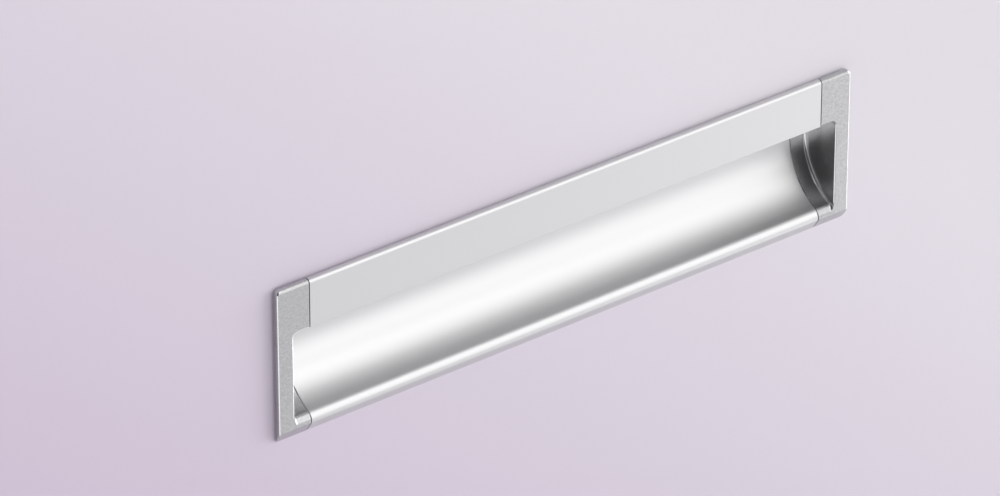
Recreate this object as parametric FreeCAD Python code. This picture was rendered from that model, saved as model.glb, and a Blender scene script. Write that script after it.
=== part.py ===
import FreeCAD, Part
import math
import os

# Recessed profile handle: a length of extruded aluminium grip profile between two die-cast end caps.
# Millimetres. X runs along the handle, Y runs into the furniture front and Z is up.
# The origin is the middle of the handle on the surface of the front, where the rim seats.
V = FreeCAD.Vector

# overall
screw_centres = 160.0       # standard spacing of the two fixing screws
screw_to_end = 5.0          # from a screw's axis to the end of the handle
overall_height = 43.0
rim_thickness = 2.0         # how far the rim stands proud of the front
top_edge_radius = 1.0       # rounding along the top of the face
rear_relief = 0.5           # bevel behind the rim's edge, which leaves a fine shadow line

# flange above the opening and lip below it
flange_height = 13.2        # from the top edge down to the edge that the fingers pull
flange_edge_radius = 0.4
lip_height = 5.2            # from the bottom edge up to where the trough would meet the face
lip_radius = 2.2            # round nose between the trough and the face of the lip
lip_band = 0.55             # flat height between the nose and the underside, before their edge is rounded
bevel_edge_radius = 1.5     # soft edge between the nose and the sloping underside

# round trough that the fingers reach into
grip_depth = 12.0           # from the face of the rim to the deepest point
grip_wall = 1.5
pocket_fillet = 0.4         # inside corner where the trough meets the back of the flange

# ports on the back of the profile, and the spigots of the caps that go into them
port_angle = 43.0           # above and below the level of the trough's axis
port_bore_radius = 1.5
port_wall = 1.1
port_sink = 0.9             # how far each port's ring reaches into the trough wall
port_slot = 1.4             # lengthwise slot that leaves each port open at the back
spigot_length = 8.0
spigot_clearance = 0.05
spigot_chamfer = 0.4

# end caps
cap_width = 9.0
cap_end_radius = 0.5        # rounding along the ends of the face
cap_outer_corner = 1.2      # upper outer corner of the rim
cap_side_rim = 4.4          # from the end of the handle to the edge of the opening
cap_end_wall = 2.4          # wall that closes the trough
cap_opening_step = 0.3      # the opening of the cap ends this much above the edge of the flange
cap_corner_radius = 1.5     # upper corner of the opening
window_clearance = 0.9      # above the trough's floor, where the rounding of the opening's edge stops
cap_floor_fillet = 0.9      # between the trough and the end wall
cap_back_edge = 0.4         # small bevel along the rear edges of the casting
joint_gap = 0.25            # open joint between a cap and the profile

# threaded bosses for the fixing screws
screw_drop = 7.0            # from the top edge down to the axis of the screws
boss_radius = 3.3
thread_drill_radius = 1.65  # drilled for an M4 thread
thread_depth = 5.5
drill_point_angle = 118.0

# values worked out from the ones above
overall_length = screw_centres + 2 * screw_to_end
face_y = -rim_thickness
top_z = overall_height / 2
bottom_z = -overall_height / 2
lip_z = bottom_z + lip_height
grip_radius = (lip_z ** 2 + grip_depth ** 2) / (2 * grip_depth)
axis_y = face_y + grip_depth - grip_radius
outer_radius = grip_radius + grip_wall
back_y = axis_y + outer_radius
nose_y = face_y + lip_radius
nose_z = -math.sqrt((grip_radius + lip_radius) ** 2 - (nose_y - axis_y) ** 2)
bevel_z = nose_z - lip_band
flange_z = top_z - flange_height
screw_z = top_z - screw_drop
profile_length = overall_length - 2 * (cap_width + joint_gap)
cap_start = overall_length / 2 - cap_width
cap_end = overall_length / 2
opening_end = cap_end - cap_side_rim
body_end = opening_end + cap_end_wall
in_front = face_y - 3       # clear of the face, where the cuts into it begin
port_ring_radius = port_bore_radius + port_wall
port_reach = outer_radius + port_ring_radius - port_sink
port_y = axis_y + port_reach * math.cos(math.radians(port_angle))
port_rise = port_reach * math.sin(math.radians(port_angle))
port_heights = (port_rise, -port_rise)


def arc_height(radius, y):
    """Height above the trough's axis at which a circle about that axis passes depth y."""
    return math.sqrt(radius ** 2 - (y - axis_y) ** 2)


def flat(edges, x):
    """A flat face from edges drawn in the plane of the section, moved to x along the handle."""
    face = Part.Face(Part.Wire(Part.__sortEdges__(edges)))
    face.translate(V(x, 0, 0))
    return face


def line(start, end):
    return Part.LineSegment(V(0, *start), V(0, *end)).toShape()


def trough_arc(radius, y_from, y_to):
    """Arc about the trough's axis, from depth y_from at the top round the back to y_to below."""
    start = V(0, y_from, arc_height(radius, y_from))
    middle = V(0, axis_y + radius, 0)
    end = V(0, y_to, -arc_height(radius, y_to))
    return Part.Arc(start, middle, end).toShape()


def bar(face, length):
    return face.extrude(V(length, 0, 0))


def edges_along_x(shape, places):
    """Edges that run the length of an extrusion and pass through the given section points."""
    found = []
    for edge in shape.Edges:
        middle = edge.CenterOfMass
        level = abs(edge.Vertexes[0].X - edge.Vertexes[-1].X) > 1.0
        if level and any(math.hypot(middle.y - y, middle.z - z) < 0.01 for y, z in places):
            found.append(edge)
    return found


def wall_section():
    """Outline of the extrusion's wall: flange, trough and lip in one."""
    top_inner = arc_height(grip_radius, 0)
    top_outer = arc_height(outer_radius, 0)
    low_outer = -arc_height(outer_radius, 0)
    return [
        line((0, top_outer), (0, top_z)),
        line((0, top_z), (face_y, top_z)),
        line((face_y, top_z), (face_y, flange_z)),
        line((face_y, flange_z), (0, flange_z)),
        line((0, flange_z), (0, top_inner)),
        trough_arc(grip_radius, 0, face_y),
        line((face_y, lip_z), (face_y, bevel_z)),
        line((face_y, bevel_z), (0, bottom_z)),
        line((0, bottom_z), (0, low_outer)),
        trough_arc(outer_radius, 0, 0),
    ]


def round_section_edges(solid):
    """Roundings and the rear relief that the die gives the profile's edges."""
    solid = solid.makeFillet(top_edge_radius, edges_along_x(solid, [(face_y, top_z)]))
    solid = solid.makeChamfer(rear_relief, edges_along_x(solid, [(0, top_z)]))
    solid = solid.makeFillet(flange_edge_radius, edges_along_x(solid, [(face_y, flange_z)]))
    solid = solid.makeFillet(lip_radius, edges_along_x(solid, [(face_y, lip_z)]))
    solid = solid.makeFillet(bevel_edge_radius, edges_along_x(solid, [(face_y, bevel_z)]))
    return solid


def rod(radius, start, length, z):
    """Round bar along the handle on the axis of one of the ports."""
    return Part.makeCylinder(radius, length, V(start, port_y, z), V(1, 0, 0))


def grip_profile():
    start = -profile_length / 2
    profile = bar(flat(wall_section(), start), profile_length)
    profile = round_section_edges(profile)
    top_inner = arc_height(grip_radius, 0)
    profile = profile.makeFillet(pocket_fillet, edges_along_x(profile, [(0, top_inner)]))
    hollow = Part.makeCylinder(grip_radius, profile_length, V(start, axis_y, 0), V(1, 0, 0))
    for z in port_heights:
        ring = rod(port_ring_radius, start, profile_length, z)
        profile = profile.fuse(ring.cut(hollow))
    for z in port_heights:
        slot = Part.makeBox(profile_length, port_ring_radius + 1, port_slot, V(start, port_y, z - port_slot / 2))
        profile = profile.cut(rod(port_bore_radius, start, profile_length, z)).cut(slot)
    return profile.removeSplitter()


def uneven_fillet(shape, radii):
    """Rounds edges whose radius changes along them: (edge number, start radius, end radius)."""
    document = FreeCAD.newDocument("fillet")
    base = document.addObject("Part::Feature", "sharp")
    base.Shape = shape
    rounded = document.addObject("Part::Fillet", "rounded")
    rounded.Base = base
    rounded.Edges = radii
    document.recompute()
    result = rounded.Shape.copy()
    FreeCAD.closeDocument(document.Name)
    return result


def edge_ends(edge):
    return [edge.valueAt(edge.FirstParameter), edge.valueAt(edge.LastParameter)]


def border_edges(rim, y):
    """Numbers of the edges at depth y that run along the top of a cap's rim, round its corner and down its end."""
    found = []
    for number, edge in enumerate(rim.Edges, 1):
        ends = edge_ends(edge)
        at_border = all(p.z > top_z - cap_outer_corner - 0.01 or p.x > cap_end - 0.01 for p in ends)
        at_joint = all(p.x < cap_start + 0.01 for p in ends)
        if at_border and not at_joint and all(abs(p.y - y) < 0.01 for p in ends):
            found.append(number)
    return found


def cap_rim():
    """Flat rim of a cap, with the sloping underside of the profile's lip carried on below."""
    rim = bar(flat([
        line((0, bottom_z), (0, top_z)),
        line((0, top_z), (face_y, top_z)),
        line((face_y, top_z), (face_y, bevel_z)),
        line((face_y, bevel_z), (0, bottom_z)),
    ], cap_start), cap_width)
    corner = [e for e in rim.Edges if all(p.z > top_z - 0.01 and p.x > cap_end - 0.01 for p in edge_ends(e))]
    rim = rim.makeFillet(cap_outer_corner, corner)
    radii = []
    for number in border_edges(rim, face_y):
        ends = edge_ends(rim.Edges[number - 1])
        sizes = [top_edge_radius if p.z > top_z - 0.01 else cap_end_radius for p in ends]
        radii.append((number, *sizes))
    rim = uneven_fillet(rim, radii)
    return rim.makeChamfer(rear_relief, [rim.Edges[number - 1] for number in border_edges(rim, 0)])


def cap_body():
    """What sits inside the front: trough and end wall still solid, port rods and screw boss."""
    outer = arc_height(outer_radius, 0)
    body = bar(flat([
        trough_arc(outer_radius, 0, 0),
        line((0, -outer), (0, outer)),
    ], cap_start), body_end - cap_start)
    rear = [e for e in body.Edges if abs(e.CenterOfMass.x - body_end) < 0.01 and e.CenterOfMass.y > 1]
    body = body.makeChamfer(cap_back_edge, rear)
    for z in port_heights:
        body = body.fuse(rod(port_ring_radius, cap_start, body_end - cap_back_edge - cap_start, z))
    boss = Part.makeCylinder(boss_radius, back_y, V(screw_centres / 2, 0, screw_z), V(0, 1, 0))
    return body.fuse(boss)


def trough_hollow():
    """The round hollow of a cap behind its rim, open towards the profile."""
    before = cap_start - 1
    inner = arc_height(grip_radius, 0)
    return bar(flat([
        trough_arc(grip_radius, 0, 0),
        line((0, -inner), (0, inner)),
    ], before), opening_end - before)


def opening_bar(floor):
    """Bar that cuts the opening of a cap's rim; its floor is given as edges from y = 0 to the front."""
    before = cap_start - 1
    top = flange_z + cap_opening_step
    first = floor[0].valueAt(floor[0].FirstParameter)
    last = floor[-1].valueAt(floor[-1].LastParameter)
    opening = bar(flat([
        line((0, first.z), (0, top)),
        line((0, top), (in_front, top)),
        line((in_front, top), (in_front, last.z)),
    ] + floor, before), opening_end - before)
    corner = [e for e in opening.Edges if abs(e.CenterOfMass.x - opening_end) < 0.01
              and abs(e.CenterOfMass.z - top) < 0.01]
    return opening.makeFillet(cap_corner_radius, corner)


def section_arc(centre, radius, start, end):
    """Arc in the plane of the section, between two points given as angles from the depth direction."""
    places = []
    for angle in (start, (start + end) / 2, end):
        y = centre[0] + radius * math.cos(angle)
        z = centre[1] + radius * math.sin(angle)
        places.append(V(0, y, z))
    return Part.Arc(*places).toShape()


def rim_window():
    """First cut through the rim, which stays clear of the trough's floor; its front edge gets rounded."""
    radius = grip_radius - window_clearance
    start = -math.acos(-axis_y / radius)
    end = -math.acos((in_front - axis_y) / radius)
    return opening_bar([section_arc((axis_y, 0), radius, start, end)])


def nose_opening():
    """The opening down to its real floor: the trough and the round nose of the lip."""
    meeting = math.atan2(nose_z, nose_y - axis_y)
    trough = section_arc((axis_y, 0), grip_radius, -math.acos(-axis_y / grip_radius), meeting)
    nose = section_arc((nose_y, nose_z), lip_radius, meeting + math.pi, math.pi)
    sill = line((face_y, nose_z), (in_front, nose_z))
    return opening_bar([trough, nose, sill])


def recess_cutter():
    """All that is hollow in a cap, with a cast fillet where the trough and nose run into the end wall."""
    cutter = trough_hollow().fuse(nose_opening()).removeSplitter()
    floor = []
    for edge in cutter.Edges:
        is_round = isinstance(edge.Curve, Part.Circle) and edge.CenterOfMass.z < flange_z
        on_wall = all(abs(p.x - opening_end) < 0.01 for p in edge_ends(edge))
        if is_round and on_wall:
            floor.append(edge)
    return cutter.makeFillet(cap_floor_fillet, floor)


def open_rim():
    """The rim with its opening, whose front edge is rounded at the top and the side."""
    rim = cap_rim().cut(rim_window())
    edges = []
    for edge in rim.Edges:
        ends = edge_ends(edge)
        on_face = all(abs(p.y - face_y) < 0.01 for p in ends)
        at_side = all(cap_start - 0.01 < p.x < opening_end + 0.01 for p in ends)
        inside = all(p.z < flange_z + cap_opening_step + 0.01 for p in ends)
        along = abs(ends[0].x - ends[1].x) > 0.01 or ends[0].x > cap_start + 0.01
        above = max(p.z for p in ends) > 0
        if on_face and at_side and inside and along and above:
            edges.append(edge)
    return rim.makeFillet(flange_edge_radius, edges)


def spigot(z):
    """Spigot that goes into a port, on a shoulder that holds the joint open by its small gap."""
    root = cap_start - joint_gap
    shoulder = rod(port_ring_radius, root, joint_gap + cap_back_edge, z)
    pin = rod(port_bore_radius - spigot_clearance, root - spigot_length, spigot_length + cap_back_edge, z)
    tip = [e for e in pin.Edges if abs(e.CenterOfMass.x - root + spigot_length) < 0.01]
    return shoulder.fuse(pin.makeChamfer(spigot_chamfer, tip))


def thread_hole():
    """Blind drilled hole for the fixing screw, with the cone that the drill leaves."""
    mouth = V(screw_centres / 2, back_y, screw_z)
    inwards = V(0, -1, 0)
    drilled = Part.makeCylinder(thread_drill_radius, thread_depth, mouth, inwards)
    point = thread_drill_radius / math.tan(math.radians(drill_point_angle / 2))
    cone = Part.makeCone(thread_drill_radius, 0, point, mouth + inwards * thread_depth, inwards)
    return drilled.fuse(cone)


def end_cap():
    """The right-hand cap."""
    cap = open_rim().fuse(cap_body()).cut(recess_cutter())
    hollow = Part.makeCylinder(grip_radius, joint_gap + 1, V(cap_start - joint_gap - 1, axis_y, 0), V(1, 0, 0))
    for z in port_heights:
        cap = cap.fuse(spigot(z).cut(hollow))
    return cap.cut(thread_hole()).removeSplitter()


def write(shape, node):
    print(node, "valid:", shape.isValid(), "solids:", len(shape.Solids), "volume:", round(shape.Volume, 1))
    shape.exportStep("parts/" + node + ".step")


os.makedirs("parts", exist_ok=True)
right_cap = end_cap()
write(grip_profile(), "grip_profile")
write(right_cap, "end_cap_right")
write(right_cap.mirror(V(0, 0, 0), V(1, 0, 0)), "end_cap_left")
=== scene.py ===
import math
import bpy
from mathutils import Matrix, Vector

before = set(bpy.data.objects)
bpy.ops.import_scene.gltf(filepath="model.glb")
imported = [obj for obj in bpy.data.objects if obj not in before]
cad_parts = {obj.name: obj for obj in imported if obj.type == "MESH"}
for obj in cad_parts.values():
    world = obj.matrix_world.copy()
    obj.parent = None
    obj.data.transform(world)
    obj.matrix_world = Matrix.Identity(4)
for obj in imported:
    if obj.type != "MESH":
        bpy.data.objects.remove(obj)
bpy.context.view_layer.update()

# Profile handle let into a pale lilac furniture front, seen from its left and from above.
# Metres, in the frame of the CAD: X along the handle, Y into the front, Z up.


def hexColour(code):
    parts = [int(code[i:i + 2], 16) / 255 for i in (1, 3, 5)]
    linear = [c / 12.92 if c <= 0.04045 else ((c + 0.055) / 1.055) ** 2.4 for c in parts]
    return (*linear, 1.0)


def addNode(tree, kind, settings=None, links=None, **attributes):
    # settings fill the node's own sockets, links bring in other nodes' outputs
    node = tree.nodes.new(kind)
    for name, value in attributes.items():
        setattr(node, name, value)
    for socket, value in (settings or {}).items():
        node.inputs[socket].default_value = value
    for socket, source in (links or {}).items():
        tree.links.new(source, node.inputs[socket])
    return node


def newMaterial(name):
    made = bpy.data.materials.new(name)
    made.use_nodes = True
    made.node_tree.nodes.clear()
    return made, made.node_tree


def finishMaterial(tree, surface):
    addNode(tree, "ShaderNodeOutputMaterial", links={"Surface": surface})


aluminium = {
    "colour": "#D6D6D7",
    "smoothest": 0.30,
    "roughest": 0.36,
    "lines": (4.0, 2000.0, 2000.0),    # per metre, along the handle and across it
    "lineDetail": 2.0,
    "bump": 0.04,
    "bumpHeight": 0.0001,
}


def satinAnodisedAluminium():
    # Extruded aluminium, etched and clear anodised: an even pale satin with faint drawn lines
    # along the length. The die lines are about 0.1 mm wide, drawn 0.5 mm wide so that they show.
    made, tree = newMaterial("satinAnodisedAluminium")
    place = addNode(tree, "ShaderNodeTexCoord")
    stretched = addNode(tree, "ShaderNodeMapping", {"Scale": aluminium["lines"]},
                        {"Vector": place.outputs["Object"]})
    lines = addNode(tree, "ShaderNodeTexNoise",
                    {"Scale": 1.0, "Detail": aluminium["lineDetail"]},
                    {"Vector": stretched.outputs["Vector"]})
    rough = addNode(tree, "ShaderNodeMapRange",
                    {"To Min": aluminium["smoothest"], "To Max": aluminium["roughest"]},
                    {"Value": lines.outputs["Fac"]})
    bump = addNode(tree, "ShaderNodeBump",
                   {"Strength": aluminium["bump"], "Distance": aluminium["bumpHeight"]},
                   {"Height": lines.outputs["Fac"]})
    shader = addNode(tree, "ShaderNodeBsdfPrincipled",
                     {"Base Color": hexColour(aluminium["colour"]), "Metallic": 1.0},
                     {"Roughness": rough.outputs["Result"], "Normal": bump.outputs["Normal"]})
    finishMaterial(tree, shader.outputs["BSDF"])
    return made


zinc = {
    "lacquer": "#BBBBBD",
    "flakes": "#C7C8C9",
    "roughness": 0.24,
    "flakesPerMetre": 2200.0,
    "flakeDetail": 1.0,
    "flakesFrom": 0.3,      # levels of the noise at which flakes begin to show and show fully
    "flakesFull": 0.7,
    "bump": 0.04,
    "bumpHeight": 0.0001,
}


def silverPaintedZinc():
    # Die-cast zinc under a silver lacquer: the aluminium flakes in it give a fine pale speckle
    # over a flat mid grey. Flakes of about 0.05 mm are drawn 0.45 mm wide so that they show.
    made, tree = newMaterial("silverPaintedZinc")
    place = addNode(tree, "ShaderNodeTexCoord")
    flakes = addNode(tree, "ShaderNodeTexNoise",
                     {"Scale": zinc["flakesPerMetre"], "Detail": zinc["flakeDetail"]},
                     {"Vector": place.outputs["Object"]})
    speckle = addNode(tree, "ShaderNodeMapRange",
                      {"From Min": zinc["flakesFrom"], "From Max": zinc["flakesFull"]},
                      {"Value": flakes.outputs["Fac"]})
    colour = addNode(tree, "ShaderNodeMix",
                     {"A": hexColour(zinc["lacquer"]), "B": hexColour(zinc["flakes"])},
                     {"Factor": speckle.outputs["Result"]}, data_type="RGBA")
    bump = addNode(tree, "ShaderNodeBump",
                   {"Strength": zinc["bump"], "Distance": zinc["bumpHeight"]},
                   {"Height": flakes.outputs["Fac"]})
    shader = addNode(tree, "ShaderNodeBsdfPrincipled",
                     {"Metallic": 1.0, "Roughness": zinc["roughness"]},
                     {"Base Color": colour.outputs["Result"], "Normal": bump.outputs["Normal"]})
    finishMaterial(tree, shader.outputs["BSDF"])
    return made


def dressNodes():
    profileMetal = satinAnodisedAluminium()
    capMetal = silverPaintedZinc()
    for name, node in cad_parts.items():
        node.data.materials.clear()
        node.data.materials.append(profileMetal if name == "grip_profile" else capMetal)
    print("materials on the CAD pieces")


front = {
    "width": 0.62,
    "height": 0.52,
    "cutWidth": 0.1672,     # pocket that the handle sits in
    "cutHeight": 0.0366,
    "behindSeat": 0.00005,  # so that the sheet and the rim's back aren't drawn through each other
    # painted light: the lilac is drawn darker at the lower left and paler at the upper right,
    # standing in for how the light falls on the board
    "shadedLowerLeft": "#CCC0D2",
    "litUpperRight": "#E1DDE5",
    "slant": 1.17,          # how much more the painted light changes upwards than to the right
    "changesFrom": -0.165,  # where the painted light starts and ends its change, along X at the middle height
    "changesTo": 0.085,
    "roughness": 0.6,
    "specular": 0.2,
}


def lilacPaintWithPaintedLight():
    # Matt lilac lacquer on a flat board, with painted light: its colour is drawn darker towards
    # the lower left and paler towards the upper right, where the light falls most
    made, tree = newMaterial("lilacPaintWithPaintedLight")
    place = addNode(tree, "ShaderNodeTexCoord")
    split = addNode(tree, "ShaderNodeSeparateXYZ", links={"Vector": place.outputs["Object"]})
    slant = addNode(tree, "ShaderNodeMath", {1: front["slant"]},
                    {0: split.outputs["Z"], 2: split.outputs["X"]}, operation="MULTIPLY_ADD")
    across = addNode(tree, "ShaderNodeMapRange",
                     {"From Min": front["changesFrom"], "From Max": front["changesTo"]},
                     {"Value": slant.outputs[0]})
    # painted light: a ramp from the shaded, darker lilac to the lit, paler lilac
    colour = addNode(tree, "ShaderNodeMix",
                     {"A": hexColour(front["shadedLowerLeft"]), "B": hexColour(front["litUpperRight"])},
                     {"Factor": across.outputs["Result"]}, data_type="RGBA")
    shader = addNode(tree, "ShaderNodeBsdfPrincipled",
                     {"Roughness": front["roughness"], "Specular IOR Level": front["specular"]},
                     {"Base Color": colour.outputs["Result"]})
    finishMaterial(tree, shader.outputs["BSDF"])
    return made


floor = {
    "level": -1.65,
    "size": 11.0,
    "colour": "#F4F3F5",
    "levelSeen": 0.95,      # what the camera and the metal see, where 1 is the colour as written
}


def paleFloor():
    # a matt white floor, which the camera and the metal see at one even level
    made, tree = newMaterial("paleFloor")
    pale = hexColour(floor["colour"])
    matt = addNode(tree, "ShaderNodeBsdfDiffuse", {"Color": pale})
    seen = addNode(tree, "ShaderNodeEmission", {"Color": pale, "Strength": floor["levelSeen"]})
    path = addNode(tree, "ShaderNodeLightPath")
    either = addNode(tree, "ShaderNodeMath", operation="MAXIMUM",
                     links={0: path.outputs["Is Camera Ray"], 1: path.outputs["Is Glossy Ray"]})
    mixed = addNode(tree, "ShaderNodeMixShader",
                    links={0: either.outputs[0], 1: matt.outputs[0], 2: seen.outputs[0]})
    finishMaterial(tree, mixed.outputs["Shader"])
    return made


def rectangle(width, height):
    return [(x * width / 2, y * height / 2) for x, y in ((-1, -1), (1, -1), (1, 1), (-1, 1))]


def meshObject(name, points, faces, material):
    mesh = bpy.data.meshes.new(name)
    mesh.from_pydata(points, [], faces)
    mesh.update()
    made = bpy.data.objects.new(name, mesh)
    bpy.context.scene.collection.objects.link(made)
    mesh.materials.append(material)
    return made


def makeFront():
    # a sheet close behind the rim's seat, with the pocket's outline cut out of it
    outer = rectangle(front["width"], front["height"])
    inner = rectangle(front["cutWidth"], front["cutHeight"])
    points = [(x, front["behindSeat"], z) for x, z in outer + inner]
    faces = [(i, (i + 1) % 4, (i + 1) % 4 + 4, i + 4) for i in range(4)]
    sheet = meshObject("furnitureFront", points, faces, lilacPaintWithPaintedLight())
    corners = [(x, y, floor["level"]) for x, y in rectangle(floor["size"], floor["size"])]
    ground = meshObject("floor", corners, [(0, 1, 2, 3)], paleFloor())
    print("front and floor")


# The studio is a room at one even brightness, dim behind the camera, with soft panels far away
# in it and three lamps that stand low in front. Azimuth is counted from straight in front, to the
# right; core and edge are how far from its middle a panel is full and where it has faded out.
# All of these are in degrees.
light = {
    "tint": "#F8F7F7",
    "room": 0.62,
    "dimSide": {"azimuth": -33, "elevation": 20, "core": 22, "edge": 56, "brightness": 0.1},
    "panels": {
        "right": {"azimuth": 75, "elevation": 5, "core": 10, "edge": 40, "brightness": 4.0},
        "frontLevel": {"azimuth": 15, "elevation": -5, "core": 6, "edge": 26, "brightness": 1.0},
        "front": {"azimuth": 18, "elevation": 20, "core": 6, "edge": 26, "brightness": 0.72},
        "frontHigh": {"azimuth": 18, "elevation": 45, "core": 6, "edge": 26, "brightness": 1.28},
    },
    "lamps": {
        "lowLeft": {"azimuth": -56, "elevation": -33, "distance": 1.1,
                    "size": 0.7, "brightness": 1.25},
        "lowRight": {"azimuth": 64, "elevation": -30, "distance": 1.6,
                     "size": 0.88, "brightness": 0.96},
        "edgeRight": {"azimuth": 84, "elevation": -32, "distance": 1.5,
                      "size": 0.4, "brightness": 3.5},
    },
}


def direction(spot):
    # the way towards a lamp, a panel or the camera, as seen from the handle
    azimuth, elevation = math.radians(spot["azimuth"]), math.radians(spot["elevation"])
    return Vector((math.sin(azimuth) * math.cos(elevation),
                   -math.cos(azimuth) * math.cos(elevation),
                   math.sin(elevation)))


def makeStudio():
    world = bpy.data.worlds.new("studio")
    bpy.context.scene.world = world
    world.use_nodes = True
    tree = world.node_tree
    tree.nodes.clear()
    place = addNode(tree, "ShaderNodeTexCoord")

    def patch(spot, middle, outside):
        # goes smoothly from one value in the middle of a patch of the room to another outside it
        cosine = addNode(tree, "ShaderNodeVectorMath", {1: direction(spot)},
                         {0: place.outputs["Generated"]}, operation="DOT_PRODUCT")
        faded = addNode(tree, "ShaderNodeMapRange",
                        {"From Min": math.cos(math.radians(spot["edge"])),
                         "From Max": math.cos(math.radians(spot["core"])),
                         "To Min": outside, "To Max": middle},
                        {"Value": cosine.outputs["Value"]}, interpolation_type="SMOOTHSTEP")
        return faded.outputs["Result"]

    total = patch(light["dimSide"], light["dimSide"]["brightness"], light["room"])
    for panel in light["panels"].values():
        added = addNode(tree, "ShaderNodeMath", operation="ADD",
                        links={0: total, 1: patch(panel, panel["brightness"], 0.0)})
        total = added.outputs[0]
    back = addNode(tree, "ShaderNodeBackground", {"Color": hexColour(light["tint"])},
                   {"Strength": total})
    addNode(tree, "ShaderNodeOutputWorld", links={"Surface": back.outputs["Background"]})
    print("studio with", len(light["panels"]), "soft panels")


def makeLamps():
    for name, spot in light["lamps"].items():
        lamp = bpy.data.lights.new(name, "AREA")
        lamp.size = spot["size"]
        lamp.energy = math.pi * spot["size"] ** 2 * spot["brightness"]    # grows with its face
        lamp.color = hexColour(light["tint"])[:3]
        made = bpy.data.objects.new(name, lamp)
        bpy.context.scene.collection.objects.link(made)
        made.location = direction(spot) * spot["distance"]
        made.rotation_euler = direction(spot).to_track_quat("Z", "Y").to_euler()
    print("lamps:", ", ".join(light["lamps"]))


camera = {
    "azimuth": -36.1,       # counted as for the lamps, so it stands to the left
    "elevation": 32.5,
    "distance": 1.8,
    "targetX": -0.01945,    # the point looked at, on the surface of the front
    "targetZ": 0.00824,
    "lens": 272.6,
    "sensorWidth": 36.0,
    "seesUpTo": 50.0,
}


def makeCamera():
    lens = bpy.data.cameras.new("camera")
    lens.lens = camera["lens"]
    lens.sensor_width = camera["sensorWidth"]
    lens.clip_end = camera["seesUpTo"]
    made = bpy.data.objects.new("camera", lens)
    bpy.context.scene.collection.objects.link(made)
    target = Vector((camera["targetX"], 0, camera["targetZ"]))
    made.location = target + direction(camera) * camera["distance"]
    made.rotation_euler = direction(camera).to_track_quat("Z", "Y").to_euler()
    bpy.context.scene.camera = made
    print("camera")


dressNodes()
makeFront()
makeStudio()
makeLamps()
makeCamera()
bpy.context.scene.view_settings.view_transform = "Standard"
